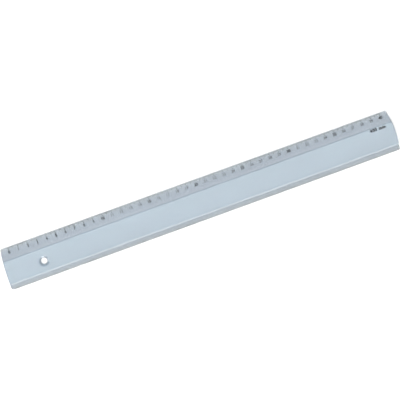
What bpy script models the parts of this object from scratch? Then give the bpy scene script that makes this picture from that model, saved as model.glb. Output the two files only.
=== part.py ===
"""A 40 cm desk ruler: one clear tinted moulding with a bevelled edge, and the scale printed on that bevel.

Metres, +Z up. The ruler lies along X with its zero at -X. Its graduated edge faces +Y, and its underside is at z = 0.
"""

import math

import bmesh
import bpy
from mathutils import Euler, Matrix, Vector

# The scale
SCALE_LENGTH = 0.400
CENTIMETRES = 40
MARKS_PER_CENTIMETRE = 10
NUMERALS_PER_COMB = 5
BOLD_EVERY = 5

# The blade seen from above
WIDTH = 0.0422
END_MARGIN = 0.010
ZERO_END_RADIUS = 0.250
ZERO_TIP_OFF_MIDDLE = 0.0115
FAR_END_RADIUS = 0.0845
GRADUATED_CORNER_RADIUS = 0.0010
ZERO_PLAIN_CORNER_RADIUS = 0.0030
FAR_PLAIN_CORNER_RADIUS = 0.0015

# The blade in cross-section, from the graduated edge to the plain one
FLAT_THICKNESS = 0.0022
EDGE_THICKNESS = 0.0009
EDGE_RADIUS = 0.0002
BEVEL_WIDTH = 0.0117
STEP_WIDTH = 0.0013
STEP_RISE = 0.00045
SHOULDER_WIDTH = 0.0015
SHOULDER_RADIUS = 0.0010
GROOVE_DEPTH = 0.0004
GROOVE_RADIUS = 0.0015
FLANK_WIDTH = 0.0018
BEAD_RISE = 0.0004
BEAD_WIDTH = 0.0031
CROWN_RADIUS = 0.0015
CREST_RISE = 0.0002
CREST_FROM_EDGE = 0.0010
CREST_RADIUS = 0.0010
BEAD_EDGE_RADIUS = 0.0006

# The hanging hole
HOLE_RADIUS = 0.0031
HOLE_FROM_TIP = 0.040
HOLE_OFF_MIDDLE_OF_FLAT = 0.0010
CHAMFER_WIDTH = 0.0024
CHAMFER_DEPTH = 0.0010

# The printed marks
INK_THICKNESS = 0.00005
PRINT_GAP = 0.00002
MARK_CLEARANCE = 0.0001
MARK_WIDTH = 0.0002
MILLIMETRE_MARK_LENGTH = 0.0013
HALF_MARK_LENGTH = 0.0022
CENTIMETRE_MARK_LENGTH = 0.0029
HAIRLINE_WIDTH = 0.0001

# The printed numerals, and the plain length mark at the far end
NUMERAL_HEIGHT = 0.0028
NUMERAL_GAP = 0.0005
LENGTH_MARK_TEXT = "400 mm"
LENGTH_MARK_HEIGHT = 0.0030
LENGTH_MARK_SPACING = 1.2
LENGTH_MARK_GAP = 0.0003
LENGTH_MARK_FROM_TIP = 0.0168
BRIDGE_WIDTH = 0.00014

# A digit in Blender's own font, as shares of the font size
DIGIT_HEIGHT_SHARE = 0.69
DIGIT_MIDDLE_SHARE = 0.25
STEM_EDGE_SHARE = 0.02
STEM_OF_FOUR_SHARE = 0.34
DIGIT_PITCH_SHARE = 0.50
BOLD_OFFSET_SHARE = 0.030
INK_SHARE_OF_BRIDGE = 0.6

# Counts and modelling distances
END_ARC_STEPS = 14
FILLET_STEPS = 4
HOLE_STEPS = 32
GLYPH_STEPS = 2
OVERRUN = 0.002
WELD = 0.000001

# Linear colours
PLASTIC_COLOR = (0.52, 0.61, 0.70, 1.0)
INK_COLOR = (0.030, 0.035, 0.045, 1.0)

CENTIMETRE = SCALE_LENGTH / CENTIMETRES
HALF_SCALE = SCALE_LENGTH / 2
ZERO_TIP = -HALF_SCALE - END_MARGIN
FAR_TIP = HALF_SCALE + END_MARGIN
GRADUATED_EDGE = WIDTH / 2
PLAIN_EDGE = -WIDTH / 2
STEP_FOOT = GRADUATED_EDGE - BEVEL_WIDTH
FLAT_START = STEP_FOOT - STEP_WIDTH
BEAD_CROWN = PLAIN_EDGE + BEAD_WIDTH
GROOVE_FLOOR = BEAD_CROWN + FLANK_WIDTH
FLAT_END = GROOVE_FLOOR + SHOULDER_WIDTH
BEVEL_TOP = FLAT_THICKNESS - STEP_RISE
CROWN_THICKNESS = FLAT_THICKNESS + BEAD_RISE
CREST_THICKNESS = CROWN_THICKNESS + CREST_RISE
BEVEL_SLOPE = math.atan2(BEVEL_TOP - EDGE_THICKNESS, BEVEL_WIDTH)
MARK_START = EDGE_RADIUS + MARK_CLEARANCE


def clear_scene():
    for obj in list(bpy.data.objects):
        bpy.data.objects.remove(obj)
    for collection in list(bpy.data.collections):
        bpy.data.collections.remove(collection)


def new_collection(name):
    collection = bpy.data.collections.new(name)
    bpy.context.scene.collection.children.link(collection)
    return collection


def new_material(name, color, roughness, transmission):
    material = bpy.data.materials.new(name)
    material.use_nodes = True
    shader = material.node_tree.nodes["Principled BSDF"]
    shader.inputs["Base Color"].default_value = color
    shader.inputs["Roughness"].default_value = roughness
    shader.inputs["Metallic"].default_value = 0.0
    shader.inputs["Transmission Weight"].default_value = transmission
    material.diffuse_color = color
    return material


def clear_plastic():
    """Tinted polystyrene, glossy from the mould."""
    return new_material("clear_blue_plastic", PLASTIC_COLOR, 0.15, 0.6)


def dark_ink():
    """Screen ink, dull and opaque."""
    return new_material("dark_ink", INK_COLOR, 0.6, 0.0)


def weld_mesh(mesh):
    """Joins the loose caps that a curve's mesh has."""
    work = bmesh.new()
    work.from_mesh(mesh)
    bmesh.ops.remove_doubles(work, verts=work.verts, dist=WELD)
    bmesh.ops.recalc_face_normals(work, faces=work.faces)
    work.to_mesh(mesh)
    work.free()


def mesh_of(obj):
    """The mesh that an object's data and modifiers make. The object itself is removed."""
    bpy.context.view_layer.update()
    graph = bpy.context.evaluated_depsgraph_get()
    mesh = bpy.data.meshes.new_from_object(obj.evaluated_get(graph))
    bpy.data.objects.remove(obj)
    return mesh


def extruded_outline(name, outline, thickness):
    """A closed outline in XY made solid, with half its thickness on each side of z = 0."""
    curve = bpy.data.curves.new(name, "CURVE")
    curve.dimensions = "2D"
    curve.fill_mode = "BOTH"
    curve.extrude = thickness / 2
    spline = curve.splines.new("POLY")
    spline.points.add(len(outline) - 1)
    for point, (x, y) in zip(spline.points, outline):
        point.co = (x, y, 0, 1)
    spline.use_cyclic_u = True
    source = bpy.data.objects.new(name, curve)
    bpy.context.scene.collection.objects.link(source)
    mesh = mesh_of(source)
    weld_mesh(mesh)
    mesh.name = name
    return mesh


def arc(center, radius, start, end, steps):
    """Points on an arc between two angles, both ends included."""
    angles = [start + (end - start) * step / steps for step in range(steps + 1)]
    return [center + radius * Vector((math.cos(angle), math.sin(angle))) for angle in angles]


def rounded_outline(corners):
    """Corners given as (x, y, radius), in order, with an arc in place of each corner that has a radius."""
    outline = []
    for index, (x, y, radius) in enumerate(corners):
        corner = Vector((x, y))
        if radius == 0:
            outline.append(corner)
            continue
        back = (Vector(corners[index - 1][:2]) - corner).normalized()
        ahead = (Vector(corners[(index + 1) % len(corners)][:2]) - corner).normalized()
        half_angle = back.angle(ahead) / 2
        center = corner + (back + ahead).normalized() * radius / math.sin(half_angle)
        first = corner + back * radius / math.tan(half_angle) - center
        sweep = first.angle_signed(corner + ahead * radius / math.tan(half_angle) - center)
        start = math.atan2(first.y, first.x)
        outline += arc(center, radius, start, start - sweep, FILLET_STEPS)
    return outline


def end_outline(tip, radius, tip_height, plain_corner_radius):
    """An end's outline, facing +X, as seen from above: plain corner, long arc, graduated corner."""
    center = Vector((tip - radius, tip_height))

    def corner_center(edge, corner_radius):
        height = math.copysign(abs(edge) - corner_radius, edge)
        reach = math.sqrt((radius - corner_radius) ** 2 - (height - tip_height) ** 2)
        return Vector((center.x + reach, height))

    plain = corner_center(PLAIN_EDGE, plain_corner_radius)
    graduated = corner_center(GRADUATED_EDGE, GRADUATED_CORNER_RADIUS)
    low = math.atan2(plain.y - center.y, plain.x - center.x)
    high = math.atan2(graduated.y - center.y, graduated.x - center.x)
    outline = arc(plain, plain_corner_radius, -math.pi / 2, low, FILLET_STEPS)
    outline += arc(center, radius, low, high, END_ARC_STEPS)[1:-1]
    outline += arc(graduated, GRADUATED_CORNER_RADIUS, high, math.pi / 2, FILLET_STEPS)
    return outline


def hide_cutter(cutter, collection):
    collection.objects.link(cutter)
    cutter.hide_render = True
    cutter.display_type = "WIRE"


def section_block():
    """The cross-section run out past both tips, along X."""
    corners = [
        (PLAIN_EDGE, 0, EDGE_RADIUS),
        (GRADUATED_EDGE, 0, EDGE_RADIUS),
        (GRADUATED_EDGE, EDGE_THICKNESS, EDGE_RADIUS),
        (STEP_FOOT, BEVEL_TOP, 0),
        (FLAT_START, FLAT_THICKNESS, 0),
        (FLAT_END, FLAT_THICKNESS, SHOULDER_RADIUS),
        (GROOVE_FLOOR, FLAT_THICKNESS - GROOVE_DEPTH, GROOVE_RADIUS),
        (BEAD_CROWN, CROWN_THICKNESS, CROWN_RADIUS),
        (PLAIN_EDGE + CREST_FROM_EDGE, CREST_THICKNESS, CREST_RADIUS),
        (PLAIN_EDGE, CROWN_THICKNESS, BEAD_EDGE_RADIUS),
    ]
    length = FAR_TIP - ZERO_TIP + 2 * OVERRUN
    mesh = extruded_outline("blade", rounded_outline(corners), length)
    drawn_to_world = Matrix(((0, 0, 1), (1, 0, 0), (0, 1, 0)))
    mesh.transform(drawn_to_world.to_4x4())
    return mesh


def plan_cutter(collection):
    """What the blade keeps as seen from above: both end arcs and the four corners."""
    outline = end_outline(FAR_TIP, FAR_END_RADIUS, 0, FAR_PLAIN_CORNER_RADIUS)
    zero_end = end_outline(-ZERO_TIP, ZERO_END_RADIUS, -ZERO_TIP_OFF_MIDDLE, ZERO_PLAIN_CORNER_RADIUS)
    outline += [Vector((-point.x, point.y)) for point in reversed(zero_end)]
    height = CREST_THICKNESS + 2 * OVERRUN
    cutter = bpy.data.objects.new("plan", extruded_outline("plan", outline, height))
    cutter.location.z = height / 2 - OVERRUN
    hide_cutter(cutter, collection)
    return cutter


def hole_cutter(collection):
    """A turned plug: a cone for the chamfer at the upper mouth, then the straight bore."""
    spread = CHAMFER_WIDTH / CHAMFER_DEPTH * OVERRUN
    profile = [
        (0, FLAT_THICKNESS + OVERRUN),
        (HOLE_RADIUS + CHAMFER_WIDTH + spread, FLAT_THICKNESS + OVERRUN),
        (HOLE_RADIUS, FLAT_THICKNESS - CHAMFER_DEPTH),
        (HOLE_RADIUS, -OVERRUN),
        (0, -OVERRUN),
    ]
    mesh = bpy.data.meshes.new("hole")
    edges = [(index, index + 1) for index in range(len(profile) - 1)]
    mesh.from_pydata([(radius, 0, height) for radius, height in profile], edges, [])
    cutter = bpy.data.objects.new("hole", mesh)
    middle_of_flat = (FLAT_START + FLAT_END) / 2
    cutter.location = (ZERO_TIP + HOLE_FROM_TIP, middle_of_flat - HOLE_OFF_MIDDLE_OF_FLAT, 0)
    screw = cutter.modifiers.new("turn", "SCREW")
    screw.steps = HOLE_STEPS
    screw.render_steps = HOLE_STEPS
    screw.use_merge_vertices = True
    screw.merge_threshold = WELD
    hide_cutter(cutter, collection)
    return cutter


def make_blade(parts, cutters, material):
    """The moulding: one cross-section all along, rounded in plan, with a chamfered hole to hang it by."""
    blade = bpy.data.objects.new("blade", section_block())
    blade.data.materials.append(material)
    parts.objects.link(blade)
    trim = blade.modifiers.new("trim_to_plan", "BOOLEAN")
    trim.operation = "INTERSECT"
    trim.object = plan_cutter(cutters)
    drill = blade.modifiers.new("hanging_hole", "BOOLEAN")
    drill.operation = "DIFFERENCE"
    drill.object = hole_cutter(cutters)


def make_bevel_plane(parts):
    """An empty on the top line of the graduated edge, turned so that its XY plane lies on the bevel."""
    plane = bpy.data.objects.new("bevel_plane", None)
    plane.location = (0, GRADUATED_EDGE, EDGE_THICKNESS)
    plane.rotation_euler = Euler((-BEVEL_SLOPE, 0, 0))
    parts.objects.link(plane)
    return plane


def print_piece(name, mesh, parts, material, place, carrier=None):
    """An ink solid that lies the print gap above its carrier's XY plane, or above a height in the world."""
    piece = bpy.data.objects.new(name, mesh)
    piece.parent = carrier
    piece.location = Vector(place) + Vector((0, 0, PRINT_GAP + INK_THICKNESS / 2))
    mesh.materials.append(material)
    parts.objects.link(piece)


def mark_length(mark):
    """How far a mark reaches across the bevel, by its number from zero."""
    if mark % MARKS_PER_CENTIMETRE == 0:
        return CENTIMETRE_MARK_LENGTH
    if mark % (MARKS_PER_CENTIMETRE // 2) == 0:
        return HALF_MARK_LENGTH
    return MILLIMETRE_MARK_LENGTH


def comb_outline(first, last):
    """Marks first to last hanging from one hairline, drawn with the hairline's outer side on y = 0."""
    pitch = CENTIMETRE / MARKS_PER_CENTIMETRE
    half = MARK_WIDTH / 2
    outline = [Vector((-half, 0)), Vector(((last - first) * pitch + half, 0))]
    for mark in range(last, first - 1, -1):
        middle = (mark - first) * pitch
        if mark != last:
            outline.append(Vector((middle + half, -HAIRLINE_WIDTH)))
        outline.append(Vector((middle + half, -mark_length(mark))))
        outline.append(Vector((middle - half, -mark_length(mark))))
        if mark != first:
            outline.append(Vector((middle - half, -HAIRLINE_WIDTH)))
    return outline


def make_marks(parts, plane, material):
    """The printed millimetre scale in combs of five centimetres. The last one ends with the last mark."""
    for start in range(0, CENTIMETRES, NUMERALS_PER_COMB):
        end = min(start + NUMERALS_PER_COMB, CENTIMETRES)
        first = start * MARKS_PER_CENTIMETRE
        last = end * MARKS_PER_CENTIMETRE - (end < CENTIMETRES)
        name = f"marks_{start}_to_{end}_cm"
        mesh = extruded_outline(name, comb_outline(first, last), INK_THICKNESS)
        place = (start * CENTIMETRE - HALF_SCALE, -MARK_START, 0)
        print_piece(name, mesh, parts, material, place, plane)


def text_mesh(name, words, height, bold, spacing=1):
    """Words in Blender's own font as one solid, centred on its XY origin. A hairline joins the characters."""
    size = height / DIGIT_HEIGHT_SHARE
    data = bpy.data.curves.new(name, "FONT")
    data.body = words
    data.space_character = spacing
    data.extrude = INK_THICKNESS / size / 2
    data.resolution_u = GLYPH_STEPS
    data.offset = BOLD_OFFSET_SHARE if bold else 0
    source = bpy.data.objects.new(name, data)
    bpy.context.scene.collection.objects.link(source)
    mesh = mesh_of(source)
    weld_mesh(mesh)
    left = min(vertex.co.x for vertex in mesh.vertices)
    right = max(vertex.co.x for vertex in mesh.vertices)
    if len(words) > 1:
        stem_of_last = right
        if words.isdigit():
            stem_of_last = (len(words) - 1) * DIGIT_PITCH_SHARE + STEM_OF_FOUR_SHARE
        mesh = bridge_characters(mesh, min(stem_of_last, right - STEM_EDGE_SHARE), size)
    mesh.transform(Matrix.Translation((-(left + right) / 2, -DIGIT_HEIGHT_SHARE / 2, 0)))
    mesh.transform(Matrix.Scale(size, 4))
    mesh.name = name
    return mesh


def bridge_characters(mesh, reach, size):
    """Runs a thin bar along the foot of the characters, from the first one's middle to the last one's stem."""
    width = BRIDGE_WIDTH / size
    length = reach - DIGIT_MIDDLE_SHARE
    work = bmesh.new()
    bmesh.ops.create_cube(work, size=1)
    bmesh.ops.scale(work, verts=work.verts, vec=(length, width, INK_SHARE_OF_BRIDGE * INK_THICKNESS / size))
    bmesh.ops.translate(work, verts=work.verts, vec=(DIGIT_MIDDLE_SHARE + length / 2, width / 2, 0))
    bar_mesh = bpy.data.meshes.new("bridge")
    work.to_mesh(bar_mesh)
    work.free()
    bar = bpy.data.objects.new("bridge", bar_mesh)
    letters = bpy.data.objects.new("letters", mesh)
    for obj in (bar, letters):
        bpy.context.scene.collection.objects.link(obj)
    union = letters.modifiers.new("bridge", "BOOLEAN")
    union.operation = "UNION"
    union.use_self = True
    union.object = bar
    joined = mesh_of(letters)
    bpy.data.objects.remove(bar)
    return joined


def make_numerals(parts, plane, material):
    """A numeral under every centimetre mark, with each fifth one bolder."""
    middle = MARK_START + CENTIMETRE_MARK_LENGTH + NUMERAL_GAP + NUMERAL_HEIGHT / 2
    for number in range(CENTIMETRES + 1):
        name = f"numeral_{number}"
        mesh = text_mesh(name, str(number), NUMERAL_HEIGHT, number % BOLD_EVERY == 0)
        place = (number * CENTIMETRE - HALF_SCALE, -middle, 0)
        print_piece(name, mesh, parts, material, place, plane)


def make_length_mark(parts, material):
    """The ruler's length, printed in plain letters on the flat near the far end."""
    mesh = text_mesh("length_mark", LENGTH_MARK_TEXT, LENGTH_MARK_HEIGHT, True, LENGTH_MARK_SPACING)
    middle = FLAT_START - LENGTH_MARK_GAP - LENGTH_MARK_HEIGHT / 2
    place = (FAR_TIP - LENGTH_MARK_FROM_TIP, middle, FLAT_THICKNESS)
    print_piece("length_mark", mesh, parts, material, place)


def main():
    clear_scene()
    parts = new_collection("Ruler")
    cutters = new_collection("Cutters")
    ink = dark_ink()
    make_blade(parts, cutters, clear_plastic())
    plane = make_bevel_plane(parts)
    make_marks(parts, plane, ink)
    make_numerals(parts, plane, ink)
    make_length_mark(parts, ink)


main()
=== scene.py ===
"""A 40 cm plastic ruler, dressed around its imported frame.

The sections follow the real ruler as it is made: the moulded blade first, then what is printed on it, and
last the white paper that it lies on, with its light and the camera. All lengths are in metres. X runs along
the ruler from 0 to 40 cm, Y towards the graduated edge and Z up out of the printed face.
"""

import math

import bmesh
import bpy
from mathutils import Matrix, Vector


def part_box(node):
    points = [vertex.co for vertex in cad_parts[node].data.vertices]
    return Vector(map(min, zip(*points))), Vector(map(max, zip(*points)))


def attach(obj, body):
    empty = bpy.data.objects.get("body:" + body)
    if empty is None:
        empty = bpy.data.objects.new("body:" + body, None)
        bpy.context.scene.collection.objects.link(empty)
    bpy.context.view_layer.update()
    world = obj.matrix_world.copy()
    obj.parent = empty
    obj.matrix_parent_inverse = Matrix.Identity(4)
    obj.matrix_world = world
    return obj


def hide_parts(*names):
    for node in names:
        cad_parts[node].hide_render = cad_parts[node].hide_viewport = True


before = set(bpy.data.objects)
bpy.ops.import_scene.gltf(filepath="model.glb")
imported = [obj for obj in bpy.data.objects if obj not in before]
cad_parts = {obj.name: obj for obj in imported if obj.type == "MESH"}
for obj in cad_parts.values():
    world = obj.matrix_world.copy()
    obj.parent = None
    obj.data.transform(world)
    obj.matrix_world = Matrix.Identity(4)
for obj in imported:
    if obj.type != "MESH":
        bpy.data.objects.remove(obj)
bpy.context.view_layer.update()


# The blade
# One injection moulding in clear polystyrene with a faint blue tint. The mould gives it the bevelled edge for
# the scale, the step up to the flat, the groove, the rounded strip along the plain edge and the hole.
BLADE_LENGTH = 0.420
BLADE_WIDTH = 0.0422
FLAT_THICKNESS = 0.0022
EDGE_THICKNESS = 0.0009
STRIP_THICKNESS = 0.0028
STRIP_CROWN_THICKNESS = 0.0026
STRIP_SIDE_THICKNESS = 0.0026
BEVEL_FOOT_THICKNESS = 0.00175
GROOVE_THICKNESS = 0.0018
GRADUATED_EDGE = BLADE_WIDTH / 2
PLAIN_EDGE = -BLADE_WIDTH / 2
BEVEL_FOOT = 0.0094
FLAT_START = 0.0081
FLAT_END = -0.0147
GROOVE_FLOOR = -0.0162
STRIP_CROWN = -0.0180
STRIP_CREST = -0.0201
STRIP_EDGE_RADIUS = 0.0006
ZERO_TIP = -BLADE_LENGTH / 2
FAR_TIP = BLADE_LENGTH / 2
ZERO_END_RADIUS = 0.250
ZERO_TIP_OFF_MIDDLE = 0.0115
FAR_END_RADIUS = 0.0845
GRADUATED_CORNER_RADIUS = 0.0010
ZERO_PLAIN_CORNER_RADIUS = 0.0030
FAR_PLAIN_CORNER_RADIUS = 0.0015
HOLE_MIDDLE = (-0.170, -0.0043)
HOLE_RADIUS = 0.0031
CHAMFER_WIDTH = 0.0024
CHAMFER_DEPTH = 0.0010
CHAMFER_RADIUS = HOLE_RADIUS + CHAMFER_WIDTH
RIM_RADIUS = 0.00018
SPARE = 0.002
TINY = 0.000001

# Each long line of the section, as its place across the blade, its height and the radius it is rounded to.
SECTION_LINES = (
    (BEVEL_FOOT, BEVEL_FOOT_THICKNESS, 0.0008),
    (FLAT_START, FLAT_THICKNESS, 0.0005),
    (FLAT_END, FLAT_THICKNESS, 0.0006),
    (GROOVE_FLOOR, GROOVE_THICKNESS, 0.0012),
    (STRIP_CROWN, STRIP_CROWN_THICKNESS, 0.0015),
    (STRIP_CREST, STRIP_THICKNESS, 0.0010),
)
LINE_STEPS = 5
EDGE_STEPS = 6
CORNER_STEPS = 6
END_STEPS = 36
HOLE_STEPS = 64
RIM_STEPS = 6


def start_fresh():
    """Leaves nothing selected, so that the next operator touches only what it makes."""
    bpy.ops.object.select_all(action="DESELECT")


def settle(piece, name):
    """Names a finished object and puts its place into its mesh."""
    start_fresh()
    piece.select_set(True)
    bpy.context.view_layer.objects.active = piece
    bpy.ops.object.transform_apply(location=True, rotation=True, scale=True)
    piece.name = name
    piece.data.name = name
    return piece


def pick(kind, wanted):
    """In edit mode, selects only the vertices, edges or faces that the test wants."""
    bpy.ops.mesh.select_mode(type=kind)
    bpy.ops.mesh.select_all(action="DESELECT")
    mesh = bpy.context.edit_object.data
    work = bmesh.from_edit_mesh(mesh)
    for part in {"VERT": work.verts, "EDGE": work.edges, "FACE": work.faces}[kind]:
        if wanted(part):
            part.select_set(True)
    work.select_flush_mode()
    bmesh.update_edit_mesh(mesh)


def near(a, b):
    return abs(a - b) < TINY


def apply_modifier(piece, kind, **settings):
    """Adds a modifier with these settings and applies it at once."""
    bpy.context.view_layer.objects.active = piece
    modifier = piece.modifiers.new(kind.lower(), kind)
    for key, value in settings.items():
        setattr(modifier, key, value)
    bpy.ops.object.modifier_apply(modifier=modifier.name)


def carve(piece, operation, cutter):
    """Applies a boolean and removes the cutter."""
    apply_modifier(piece, "BOOLEAN", operation=operation, solver="EXACT", object=cutter)
    bpy.data.objects.remove(cutter)


# The bar: a block as long as the blade and more, split along each line of the section and lowered to it.
start_fresh()
bpy.ops.mesh.primitive_cube_add(
    size=1,
    location=(0, 0, STRIP_THICKNESS / 2),
    scale=(BLADE_LENGTH + 2 * SPARE, BLADE_WIDTH, STRIP_THICKNESS),
)
blade = settle(bpy.context.object, "clear_blade")
bpy.ops.object.mode_set(mode="EDIT")
for line in SECTION_LINES:
    bpy.ops.mesh.select_all(action="SELECT")
    bpy.ops.mesh.bisect(plane_co=(0, line[0], 0), plane_no=(0, 1, 0))
section = (
    (GRADUATED_EDGE, EDGE_THICKNESS, 0),
    *SECTION_LINES,
    (PLAIN_EDGE, STRIP_SIDE_THICKNESS, 0),
)
for place, height, _ in section:
    pick("VERT", lambda vertex: near(vertex.co.y, place) and vertex.co.z > TINY)
    bpy.ops.transform.translate(value=(0, 0, height - STRIP_THICKNESS))


def slope_between(low, high):
    return math.atan2(high[1] - low[1], low[0] - high[0])


def round_line(place, height, turn, radius, steps):
    """Rounds the long edge at this place and height, where the surface turns by this angle."""
    pick("EDGE", lambda edge: all(near(v.co.y, place) and near(v.co.z, height) for v in edge.verts))
    bpy.ops.mesh.bevel(
        offset_type="OFFSET",
        offset=radius * math.tan(turn / 2),
        segments=steps,
        affect="EDGES",
        clamp_overlap=False,
    )


for before, line, after in zip(section, SECTION_LINES, section[2:]):
    place, height, radius = line
    turn = abs(slope_between(before, line) - slope_between(line, after))
    round_line(place, height, turn, radius, LINE_STEPS)
round_line(PLAIN_EDGE, STRIP_SIDE_THICKNESS, math.pi / 2, STRIP_EDGE_RADIUS, EDGE_STEPS)
bpy.ops.object.mode_set(mode="OBJECT")


# The plan: one point run round the outline, straight along the edges and swept round each end and corner.
def corner_centre(direction, end_centre, end_radius, side, corner_radius):
    """The centre of the rounding between an end's arc and a long edge. side is 1 at the graduated edge."""
    across = side * (BLADE_WIDTH / 2 - corner_radius)
    reach = math.sqrt((end_radius - corner_radius) ** 2 - (across - end_centre[1]) ** 2)
    return (end_centre[0] + direction * reach, across)


def sweep(centre, angle, steps):
    """Sweeps the selected point round a centre, counter-clockwise seen from above."""
    bpy.ops.mesh.spin(steps=steps, angle=angle, center=(centre[0], centre[1], 0), axis=(0, 0, -1))


def draw_out(x, z):
    """Draws what is selected out along the blade or upwards."""
    bpy.ops.mesh.extrude_region_move(TRANSFORM_OT_translate={"value": (x, 0, z)})


def bearing(centre, point):
    return math.atan2(point[1] - centre[1], point[0] - centre[0])


far_centre = (FAR_TIP - FAR_END_RADIUS, 0)
zero_centre = (ZERO_TIP + ZERO_END_RADIUS, -ZERO_TIP_OFF_MIDDLE)
far_plain = corner_centre(1, far_centre, FAR_END_RADIUS, -1, FAR_PLAIN_CORNER_RADIUS)
far_graduated = corner_centre(1, far_centre, FAR_END_RADIUS, 1, GRADUATED_CORNER_RADIUS)
zero_graduated = corner_centre(-1, zero_centre, ZERO_END_RADIUS, 1, GRADUATED_CORNER_RADIUS)
zero_plain = corner_centre(-1, zero_centre, ZERO_END_RADIUS, -1, ZERO_PLAIN_CORNER_RADIUS)
start_fresh()
bpy.ops.mesh.primitive_plane_add(size=TINY, location=(far_plain[0], PLAIN_EDGE, -SPARE))
plan = settle(bpy.context.object, "plan")
bpy.ops.object.mode_set(mode="EDIT")
bpy.ops.mesh.select_mode(type="VERT")
bpy.ops.mesh.select_all(action="SELECT")
bpy.ops.mesh.merge(type="CENTER")
low_side = bearing(far_centre, far_plain)
high_side = bearing(far_centre, far_graduated)
sweep(far_plain, low_side + math.pi / 2, CORNER_STEPS)
sweep(far_centre, high_side - low_side, END_STEPS)
sweep(far_graduated, math.pi / 2 - high_side, CORNER_STEPS)
draw_out(zero_graduated[0] - far_graduated[0], 0)
high_side = bearing(zero_centre, zero_graduated)
low_side = bearing(zero_centre, zero_plain) % (2 * math.pi)
sweep(zero_graduated, high_side - math.pi / 2, CORNER_STEPS)
sweep(zero_centre, low_side - high_side, END_STEPS)
sweep(zero_plain, 1.5 * math.pi - low_side, CORNER_STEPS)
draw_out(far_plain[0] - zero_plain[0], 0)
bpy.ops.mesh.select_all(action="SELECT")
bpy.ops.mesh.remove_doubles(threshold=TINY * 2)
bpy.ops.mesh.edge_face_add()
draw_out(0, STRIP_THICKNESS + 2 * SPARE)
bpy.ops.mesh.select_all(action="SELECT")
bpy.ops.mesh.normals_make_consistent(inside=False)
bpy.ops.object.mode_set(mode="OBJECT")
carve(blade, "INTERSECT", plan)

# The core pin that leaves the hanging hole: a straight pin, flared where it makes the countersink.
UPWARDS = 0.9
start_fresh()
pin_height = FLAT_THICKNESS - CHAMFER_DEPTH + SPARE
bpy.ops.mesh.primitive_cylinder_add(
    vertices=HOLE_STEPS,
    radius=HOLE_RADIUS,
    depth=pin_height,
    location=(*HOLE_MIDDLE, FLAT_THICKNESS - CHAMFER_DEPTH - pin_height / 2),
)
pin = settle(bpy.context.object, "pin")
bpy.ops.object.mode_set(mode="EDIT")
pick("FACE", lambda face: face.normal.z > UPWARDS)
flare_height = CHAMFER_DEPTH + SPARE
flare = 1 + CHAMFER_WIDTH / CHAMFER_DEPTH * flare_height / HOLE_RADIUS
draw_out(0, flare_height)
bpy.ops.transform.resize(value=(flare, flare, 1), center_override=(*HOLE_MIDDLE, 0))
bpy.ops.object.mode_set(mode="OBJECT")
carve(blade, "DIFFERENCE", pin)

# The rims that the mould leaves a little soft all round. The carving leaves the points in a chance order, so
# they are sorted by their distance from one place, and the blade comes out the same each time.
LEVEL_ANGLE = math.radians(0.05)
SORTED_FROM = (-1.3, -0.7, 0.5)
RIM_ANGLE = math.radians(18)
SMOOTH_ANGLE = math.radians(16)
BROAD_FACE_WEIGHT = 60
bpy.context.view_layer.objects.active = blade
bpy.ops.object.mode_set(mode="EDIT")
bpy.ops.mesh.select_all(action="SELECT")
bpy.ops.mesh.remove_doubles(threshold=TINY)
bpy.ops.mesh.dissolve_limited(angle_limit=LEVEL_ANGLE)
bpy.context.scene.cursor.location = SORTED_FROM
bpy.ops.mesh.select_all(action="SELECT")
bpy.ops.mesh.sort_elements(type="CURSOR_DISTANCE", elements={"VERT", "EDGE", "FACE"})
bpy.ops.mesh.normals_make_consistent(inside=False)
bpy.ops.object.mode_set(mode="OBJECT")
apply_modifier(
    blade,
    "BEVEL",
    width=RIM_RADIUS,
    segments=RIM_STEPS,
    limit_method="ANGLE",
    angle_limit=RIM_ANGLE,
    use_clamp_overlap=False,
)
bpy.ops.object.mode_set(mode="EDIT")
bpy.ops.mesh.select_all(action="SELECT")
bpy.ops.mesh.remove_doubles(threshold=TINY * 2)
bpy.ops.mesh.normals_make_consistent(inside=False)
bpy.ops.object.mode_set(mode="OBJECT")
start_fresh()
blade.select_set(True)
bpy.ops.object.shade_smooth_by_angle(angle=SMOOTH_ANGLE)
apply_modifier(blade, "WEIGHTED_NORMAL", weight=BROAD_FACE_WEIGHT, keep_sharp=True)

# The plastic. Its tint differs across the blade, partly with the thickness that the light goes through and
# partly as painted light and shade: bands along the blade made lighter or darker, and a dark rim painted on
# the plain edge's rounding.
REFRACTION = 1.59
CLEARNESS = 0.9
BEVEL_MIDDLE = 0.0130
NUMERAL_ROW = 0.0170
MARK_ROW = 0.0195
# Painted light and shade with the tint: the stop at the plain edge is a painted dark rim, and the other stops
# lighten or darken the strip, groove, flat and bevel beyond what their thickness gives.
TINT_AND_PAINTED_SHADE_BY_PLACE = (
    (PLAIN_EDGE, (0.215, 0.240, 0.262, 1)),
    (PLAIN_EDGE + STRIP_EDGE_RADIUS, (0.545, 0.583, 0.600, 1)),
    (STRIP_CROWN, (0.560, 0.604, 0.632, 1)),
    (GROOVE_FLOOR, (0.545, 0.604, 0.645, 1)),
    (FLAT_END, (0.440, 0.518, 0.576, 1)),
    (FLAT_START, (0.464, 0.542, 0.600, 1)),
    (BEVEL_FOOT, (0.564, 0.611, 0.655, 1)),
    (BEVEL_MIDDLE, (0.532, 0.582, 0.629, 1)),
    (NUMERAL_ROW, (0.550, 0.600, 0.645, 1)),
    (MARK_ROW, (0.580, 0.622, 0.650, 1)),
)
FLOW_NOISE = (60, 6, 3)
PALEST_FLOW = 1.03
DARKEST_FLOW = 0.97
# The share of the plastic's colour left at the bore's edge: painted shade.
PAINTED_BORE_SHADE = 0.84
plastic = bpy.data.materials.new("clear_blue_plastic")
plastic.use_nodes = True
nodes, links = plastic.node_tree.nodes, plastic.node_tree.links
shader = nodes["Principled BSDF"]
shader.inputs["IOR"].default_value = REFRACTION
shader.inputs["Transmission Weight"].default_value = CLEARNESS
piece_place = nodes.new("ShaderNodeTexCoord")


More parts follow.
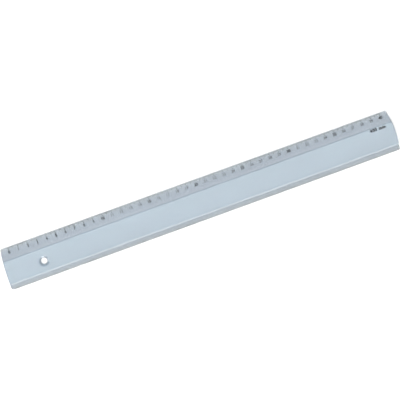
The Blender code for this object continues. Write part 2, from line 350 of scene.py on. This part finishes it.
def noise_at(vector, scale, detail):
    """Noise of this fineness, read at this place."""
    noise = nodes.new("ShaderNodeTexNoise")
    noise.inputs["Scale"].default_value = scale
    noise.inputs["Detail"].default_value = detail
    links.new(vector, noise.inputs["Vector"])
    return noise.outputs["Fac"]


def stretched(vector, stretch):
    """A place squeezed along the blade, so that a pattern on it is drawn out that way."""
    squeeze = nodes.new("ShaderNodeMapping")
    squeeze.inputs["Scale"].default_value = (1 / stretch, 1, 1)
    links.new(vector, squeeze.inputs["Vector"])
    return squeeze.outputs["Vector"]


def wear_noise(scale, stretch, detail):
    """Noise on the piece's own coordinates, drawn out along the blade."""
    return noise_at(stretched(piece_place.outputs["Object"], stretch), scale, detail)


def remap(value, start, end, low, high):
    """Turns a value that goes from start to end into one from low to high, held at both ends."""
    ramp = nodes.new("ShaderNodeMapRange")
    ramp.inputs["From Min"].default_value = start
    ramp.inputs["From Max"].default_value = end
    ramp.inputs["To Min"].default_value = low
    ramp.inputs["To Max"].default_value = high
    links.new(value, ramp.inputs["Value"])
    return ramp.outputs["Result"]


def join(operation, first, second):
    """Two values joined by an operation, such as their sum or the larger of them."""
    both = nodes.new("ShaderNodeMath")
    both.operation = operation
    links.new(first, both.inputs[0])
    links.new(second, both.inputs[1])
    return both.outputs[0]


def shade(color, share):
    """A colour made lighter or darker by a share."""
    scaled = nodes.new("ShaderNodeVectorMath")
    scaled.operation = "SCALE"
    links.new(color, scaled.inputs[0])
    links.new(share, scaled.inputs["Scale"])
    return scaled.outputs["Vector"]


split = nodes.new("ShaderNodeSeparateXYZ")
links.new(piece_place.outputs["Object"], split.inputs[0])
# The tint ramp across the blade, which carries the painted light and shade of its stops.
tint_and_painted_shade = nodes.new("ShaderNodeValToRGB")
links.new(remap(split.outputs["Y"], PLAIN_EDGE, GRADUATED_EDGE, 0, 1), tint_and_painted_shade.inputs["Fac"])
stops = tint_and_painted_shade.color_ramp.elements
stops.remove(stops[1])
for number, (y, color) in enumerate(TINT_AND_PAINTED_SHADE_BY_PLACE):
    stop = stops.new((y - PLAIN_EDGE) / BLADE_WIDTH) if number else stops[0]
    stop.color = color
flow = remap(wear_noise(*FLOW_NOISE), 0, 1, DARKEST_FLOW, PALEST_FLOW)
streaked_tint_and_shade = shade(tint_and_painted_shade.outputs["Color"], flow)

# Painted shade: the countersink's colour is darkened towards the bore, for the shadow that lies beside the
# hole. Its face is also satin, by the roughness added with the wear below.
flattened = nodes.new("ShaderNodeVectorMath")
flattened.operation = "MULTIPLY"
flattened.inputs[1].default_value = (1, 1, 0)
links.new(piece_place.outputs["Object"], flattened.inputs[0])
measured = nodes.new("ShaderNodeVectorMath")
measured.operation = "DISTANCE"
measured.inputs[1].default_value = (*HOLE_MIDDLE, 0)
links.new(flattened.outputs["Vector"], measured.inputs[0])
from_hole = measured.outputs["Value"]
# Painted shade, darkest at the bore and gone at the countersink's outer rim.
painted_shade_near_bore = remap(from_hole, HOLE_RADIUS, CHAMFER_RADIUS, PAINTED_BORE_SHADE, 1)
links.new(shade(streaked_tint_and_shade, painted_shade_near_bore), shader.inputs["Base Color"])

# Wear: scratches along the blade from pencils and from lying about, crossed by a few at a slant. Each kind
# has its turn in radians, its fineness, how far it is drawn out and the share of the noise that it keeps.
SCRATCHES = (
    (0.02, 2600, 60, 0.36),
    (-0.35, 2200, 50, 0.32),
    (0.90, 2400, 40, 0.30),
)
SCRATCH_DETAIL = 2
SCRATCH_ROUGHNESS = 0.5
SCRATCH_STRENGTH = 0.25
SCRATCH_HEIGHT = 0.00004
HAZE_NOISE = (350, 12, 6)
LEAST_HAZE = 0.04
MOST_HAZE = 0.12
SATIN_ROUGHNESS = 0.07
SWIRL_NOISE = (90, 5, 2)
SWIRL_STRENGTH = 0.3
SWIRL_HEIGHT = 0.00003


def hairlines(turn, scale, stretch, share):
    """Fine scratches: the thin crests of drawn-out noise, turned by this angle."""
    turned = nodes.new("ShaderNodeMapping")
    turned.inputs["Rotation"].default_value = (0, 0, turn)
    links.new(piece_place.outputs["Object"], turned.inputs["Vector"])
    crests = noise_at(stretched(turned.outputs["Vector"], stretch), scale, SCRATCH_DETAIL)
    return remap(crests, 1 - share, 1, 0, 1)


def relief(height, strength, depth, inward):
    """A bump in the surface, for what is too fine to model."""
    bump = nodes.new("ShaderNodeBump")
    bump.inputs["Strength"].default_value = strength
    bump.inputs["Distance"].default_value = depth
    bump.invert = inward
    links.new(height, bump.inputs["Height"])
    return bump


along, aslant, across = (hairlines(*kind) for kind in SCRATCHES)
worn = join("MAXIMUM", join("MAXIMUM", along, aslant), across)
haze = remap(wear_noise(*HAZE_NOISE), 0, 1, LEAST_HAZE, MOST_HAZE)
dulled = join("ADD", remap(worn, 0, 1, 0, SCRATCH_ROUGHNESS), haze)
satin = remap(from_hole, CHAMFER_RADIUS, CHAMFER_RADIUS - RIM_RADIUS, 0, SATIN_ROUGHNESS)
links.new(join("ADD", dulled, satin), shader.inputs["Roughness"])
grooves = relief(worn, SCRATCH_STRENGTH, SCRATCH_HEIGHT, True)
swirl = relief(wear_noise(*SWIRL_NOISE), SWIRL_STRENGTH, SWIRL_HEIGHT, False)
links.new(grooves.outputs["Normal"], swirl.inputs["Normal"])
links.new(swirl.outputs["Normal"], shader.inputs["Normal"])
blade.data.materials.clear()
blade.data.materials.append(plastic)
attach(blade, "root")
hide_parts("blade")


# The millimetre marks
# Near-black ink, screen printed on the bevel in one pass: a mark for each of the 400 millimetres and one at
# zero, longer at each half centimetre and centimetre. Each piece is one run of five centimetres.
BEVEL_SLOPE = math.atan2(BEVEL_FOOT_THICKNESS - EDGE_THICKNESS, GRADUATED_EDGE - BEVEL_FOOT)
INK_THICKNESS = 0.00003
INK_LIFT = 0.00001
MILLIMETRE = 0.001
CENTIMETRE = 10 * MILLIMETRE
SCALE_ZERO = -0.200
SCALE_CENTIMETRES = 40
RUN_CENTIMETRES = 5
MARKS_IN_CENTIMETRE = 10
MARKS_IN_HALF = 5
MARKS_IN_RUN = RUN_CENTIMETRES * MARKS_IN_CENTIMETRE
MILLIMETRE_MARK_WIDTH = 0.00011
LONG_MARK_WIDTH = 0.00032
MARK_START = 0.0003
MILLIMETRE_MARK = 0.0013
HALF_MARK = 0.0022
CENTIMETRE_MARK = 0.0029
MARK_CORNER = 0.00003
MARK_CORNER_STEPS = 2
THICK_INK = (0.016, 0.019, 0.026, 1)
THIN_INK = (0.050, 0.058, 0.075, 1)
INK_GRAIN = 5000
INK_GRAIN_DETAIL = 3
GLOSSIEST_INK = 0.45
DULLEST_INK = 0.75

ink = bpy.data.materials.new("printed_ink")
ink.use_nodes = True
nodes, links = ink.node_tree.nodes, ink.node_tree.links
shader = nodes["Principled BSDF"]
piece_place = nodes.new("ShaderNodeTexCoord")
ink_grain = noise_at(piece_place.outputs["Object"], INK_GRAIN, INK_GRAIN_DETAIL)
density = nodes.new("ShaderNodeMix")
density.data_type = "RGBA"
density.inputs["A"].default_value = THICK_INK
density.inputs["B"].default_value = THIN_INK
links.new(ink_grain, density.inputs["Factor"])
links.new(density.outputs["Result"], shader.inputs["Base Color"])
links.new(remap(ink_grain, 0, 1, GLOSSIEST_INK, DULLEST_INK), shader.inputs["Roughness"])


def finish_print(piece, *nodes_replaced):
    """Gives a printed piece its ink and its place in the frame's table."""
    piece.data.materials.clear()
    piece.data.materials.append(ink)
    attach(piece, "root")
    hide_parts(*nodes_replaced)


def on_side_of_long_mark(x, side):
    """True for a point of a half-centimetre or centimetre mark, on its left (-1) or right (1) side."""
    number = round(x / MILLIMETRE)
    return number % MARKS_IN_HALF == 0 and (x - number * MILLIMETRE) * side > 0


def print_marks(start, count):
    """The marks from this centimetre on: one stroke, repeated each millimetre, the longer ones drawn out."""
    end = start + RUN_CENTIMETRES
    middle = -MARK_START - MILLIMETRE_MARK / 2
    start_fresh()
    bpy.ops.mesh.primitive_cube_add(
        size=1,
        location=(0, middle, INK_THICKNESS / 2),
        scale=(MILLIMETRE_MARK_WIDTH, MILLIMETRE_MARK, INK_THICKNESS),
    )
    piece = settle(bpy.context.object, f"scale_marks_{start}_to_{end}_cm")
    bpy.ops.object.mode_set(mode="EDIT")
    pick("EDGE", lambda edge: abs(edge.verts[0].co.z - edge.verts[1].co.z) > TINY)
    bpy.ops.mesh.bevel(offset=MARK_CORNER, segments=MARK_CORNER_STEPS, affect="EDGES")
    bpy.ops.object.mode_set(mode="OBJECT")
    apply_modifier(
        piece,
        "ARRAY",
        count=count,
        use_relative_offset=False,
        use_constant_offset=True,
        constant_offset_displace=(MILLIMETRE, 0, 0),
    )
    bpy.ops.object.mode_set(mode="EDIT")
    for every, length in (
        (MARKS_IN_HALF, HALF_MARK - MILLIMETRE_MARK),
        (MARKS_IN_CENTIMETRE, CENTIMETRE_MARK - HALF_MARK),
    ):
        pick("VERT", lambda vertex: vertex.co.y < middle and round(vertex.co.x / MILLIMETRE) % every == 0)
        bpy.ops.transform.translate(value=(0, -length, 0))
    widening = (LONG_MARK_WIDTH - MILLIMETRE_MARK_WIDTH) / 2
    for side in (-1, 1):
        pick("VERT", lambda vertex: on_side_of_long_mark(vertex.co.x, side))
        bpy.ops.transform.translate(value=(side * widening, 0, 0))
    bpy.ops.object.mode_set(mode="OBJECT")
    piece.rotation_euler.x = -BEVEL_SLOPE
    piece.location = (SCALE_ZERO + start * CENTIMETRE, GRADUATED_EDGE, EDGE_THICKNESS + INK_LIFT)
    settle(piece, piece.name)
    finish_print(piece, f"marks_{start}_to_{end}_cm")


for start in range(0, SCALE_CENTIMETRES, RUN_CENTIMETRES):
    last_run = start + RUN_CENTIMETRES == SCALE_CENTIMETRES
    print_marks(start, MARKS_IN_RUN + 1 if last_run else MARKS_IN_RUN)


# The numerals
# Printed with the marks, in the same ink: plain upright figures, each centred under its centimetre mark.
# Every fifth one is heavier, and so are the single figures. An offset is a share of the size.
FIGURE_HEIGHT = 0.0028
FIGURE_SHARE = 0.69
FIGURE_STEPS = 3
HEAVY_EVERY = 5
FIRST_DOUBLE_FIGURE = 10
HEAVY_OFFSET = 0.030
LIGHT_OFFSET = 0.001
SINGLE_LIGHT_OFFSET = 0.020
SINGLE_HEAVY_OFFSET = 0.050


def print_words(name, words, height, offset, slope, node, spacing=1):
    """Lettering as thin raised ink, made a mesh and set where its CAD node lies."""
    start_fresh()
    bpy.ops.object.text_add(location=(0, 0, 0))
    piece = bpy.context.object
    piece.data.body = words
    piece.data.space_character = spacing
    piece.data.size = height / FIGURE_SHARE
    piece.data.extrude = INK_THICKNESS / 2
    piece.data.resolution_u = FIGURE_STEPS
    piece.data.offset = offset * piece.data.size
    bpy.ops.object.convert(target="MESH")
    bpy.ops.object.mode_set(mode="EDIT")
    bpy.ops.mesh.select_all(action="SELECT")
    bpy.ops.mesh.remove_doubles(threshold=TINY)
    bpy.ops.mesh.normals_make_consistent(inside=False)
    bpy.ops.object.mode_set(mode="OBJECT")
    bpy.ops.object.origin_set(type="ORIGIN_GEOMETRY", center="BOUNDS")
    low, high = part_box(node)
    piece.location = (low + high) / 2
    piece.rotation_euler.x = -slope
    settle(piece, name)
    finish_print(piece, node)


for number in range(SCALE_CENTIMETRES + 1):
    heavy = number % HEAVY_EVERY == 0
    if number < FIRST_DOUBLE_FIGURE:
        offset = SINGLE_HEAVY_OFFSET if heavy else SINGLE_LIGHT_OFFSET
    else:
        offset = HEAVY_OFFSET if heavy else LIGHT_OFFSET
    print_words(f"figure_{number}", str(number), FIGURE_HEIGHT, offset, BEVEL_SLOPE, f"numeral_{number}")


# The length mark
# The ruler's length in plain letters, in the same ink as the scale. It is printed on the flat, near the far
# end.
LENGTH_WORDS = "400 mm"
LENGTH_MARK_HEIGHT = 0.0030
LENGTH_MARK_OFFSET = 0.055
LENGTH_MARK_SPACING = 1.2
print_words(
    "length_mark_400_mm",
    LENGTH_WORDS,
    LENGTH_MARK_HEIGHT,
    LENGTH_MARK_OFFSET,
    0,
    "length_mark",
    LENGTH_MARK_SPACING,
)


# The paper
# The ruler lies on wide white paper, which takes its shadow. Farther off, where the lamps give less light, it
# glows more in the camera and in reflections, so that it stays white in low views too.
PAPER_SIZE = 12
PAPER_DROP = 0.0001
PAPER_COLOR = (0.70, 0.70, 0.70, 1)
NEAR_PAPER = 0.5
FAR_PAPER = 3.0
NEAR_GLOW = 0.25
FAR_GLOW = 0.95
start_fresh()
bpy.ops.mesh.primitive_plane_add(size=PAPER_SIZE, location=(0, 0, -PAPER_DROP))
paper = settle(bpy.context.object, "white_paper")
white = bpy.data.materials.new("white_paper")
white.use_nodes = True
nodes, links = white.node_tree.nodes, white.node_tree.links
nodes.clear()
path = nodes.new("ShaderNodeLightPath")
seen_or_mirrored = join("MAXIMUM", path.outputs["Is Camera Ray"], path.outputs["Is Glossy Ray"])
seen = join("MAXIMUM", seen_or_mirrored, path.outputs["Is Transmission Ray"])
piece_place = nodes.new("ShaderNodeTexCoord")
distance = nodes.new("ShaderNodeVectorMath")
distance.operation = "LENGTH"
links.new(piece_place.outputs["Object"], distance.inputs[0])
strength = remap(distance.outputs["Value"], NEAR_PAPER, FAR_PAPER, NEAR_GLOW, FAR_GLOW)
glow = nodes.new("ShaderNodeEmission")
links.new(join("MULTIPLY", seen, strength), glow.inputs["Strength"])
diffuse = nodes.new("ShaderNodeBsdfDiffuse")
diffuse.inputs["Color"].default_value = PAPER_COLOR
surface = nodes.new("ShaderNodeAddShader")
links.new(diffuse.outputs[0], surface.inputs[0])
links.new(glow.outputs[0], surface.inputs[1])
out = nodes.new("ShaderNodeOutputMaterial")
links.new(surface.outputs[0], out.inputs["Surface"])
paper.data.materials.append(white)


# The light
# Two soft lamps hang over the ruler and face down. One beyond its plain edge and one beyond its zero end are
# turned to its middle. The room gives the rest, and the camera sees it as white.
ROOM_LIGHT = 0.30
WHITE = (1, 1, 1, 1)
world = bpy.data.worlds.new("room")
bpy.context.scene.world = world
world.use_nodes = True
nodes, links = world.node_tree.nodes, world.node_tree.links
room = nodes["Background"]
room.inputs["Color"].default_value = WHITE
room.inputs["Strength"].default_value = ROOM_LIGHT
backdrop = nodes.new("ShaderNodeBackground")
backdrop.inputs["Color"].default_value = WHITE
path = nodes.new("ShaderNodeLightPath")
choose = nodes.new("ShaderNodeMixShader")
links.new(path.outputs["Is Camera Ray"], choose.inputs["Fac"])
links.new(room.outputs[0], choose.inputs[1])
links.new(backdrop.outputs[0], choose.inputs[2])
links.new(choose.outputs[0], nodes["World Output"].inputs["Surface"])

# Each lamp's name, brightness, length and width, place, and whether it is turned to the middle of the ruler.
LAMPS = (
    ("overhead_softbox", 3.3, (1.4, 0.50), (0, -0.05, 1.6), False),
    ("strip_lamp", 6.5, (2.4, 0.20), (0, -0.93, 1.6), False),
    ("low_lamp", 11.0, (1.7, 0.50), (-0.43, -1.31, 1.38), True),
    ("side_lamp", 6.5, (1.9, 0.65), (-2.1, 0, 1.48), True),
)


def hang_lamp(name, brightness, size, place, turned):
    """A flat soft lamp of this brightness, which the camera doesn't see."""
    data = bpy.data.lights.new(name, "AREA")
    data.shape = "RECTANGLE"
    data.size, data.size_y = size
    data.energy = brightness * size[0] * size[1] * math.pi
    lamp = bpy.data.objects.new(name, data)
    lamp.location = place
    if turned:
        lamp.rotation_euler = Vector(place).to_track_quat("Z", "Y").to_euler()
    lamp.visible_camera = False
    bpy.context.scene.collection.objects.link(lamp)


for lamp in LAMPS:
    hang_lamp(*lamp)


# The camera
# It looks almost straight down, and is turned so that the ruler rises to the right.
CAMERA_DISTANCE = 0.9575
CAMERA_AIM = Vector((-0.00158, -0.00016, 0))
CAMERA_AZIMUTH = math.radians(-82.96)
CAMERA_ELEVATION = math.radians(88.008)
CAMERA_ROLL = math.radians(63.03)
LENS = 85
SENSOR_WIDTH = 36
out_of_plane = math.cos(CAMERA_ELEVATION)
back = Vector((
    math.sin(CAMERA_AZIMUTH) * out_of_plane,
    -math.cos(CAMERA_AZIMUTH) * out_of_plane,
    math.sin(CAMERA_ELEVATION),
))
level = Vector((math.cos(CAMERA_AZIMUTH), math.sin(CAMERA_AZIMUTH), 0))
right = Matrix.Rotation(CAMERA_ROLL, 3, back) @ level
upward = back.cross(right)
camera_data = bpy.data.cameras.new("camera")
camera_data.lens = LENS
camera_data.sensor_width = SENSOR_WIDTH
camera_data.sensor_fit = "HORIZONTAL"
camera = bpy.data.objects.new("camera", camera_data)
turned = Matrix((right, upward, back)).transposed().to_4x4()
camera.matrix_world = Matrix.Translation(CAMERA_AIM + back * CAMERA_DISTANCE) @ turned
bpy.context.scene.collection.objects.link(camera)
bpy.context.scene.camera = camera
bpy.context.scene.view_settings.view_transform = "Standard"

# Light that runs along inside clear plastic is mirrored many times before it leaves.
BOUNCES = 32
paths = bpy.context.scene.cycles
paths.max_bounces = BOUNCES
paths.glossy_bounces = BOUNCES
paths.transmission_bounces = BOUNCES
paths.blur_glossy = 0
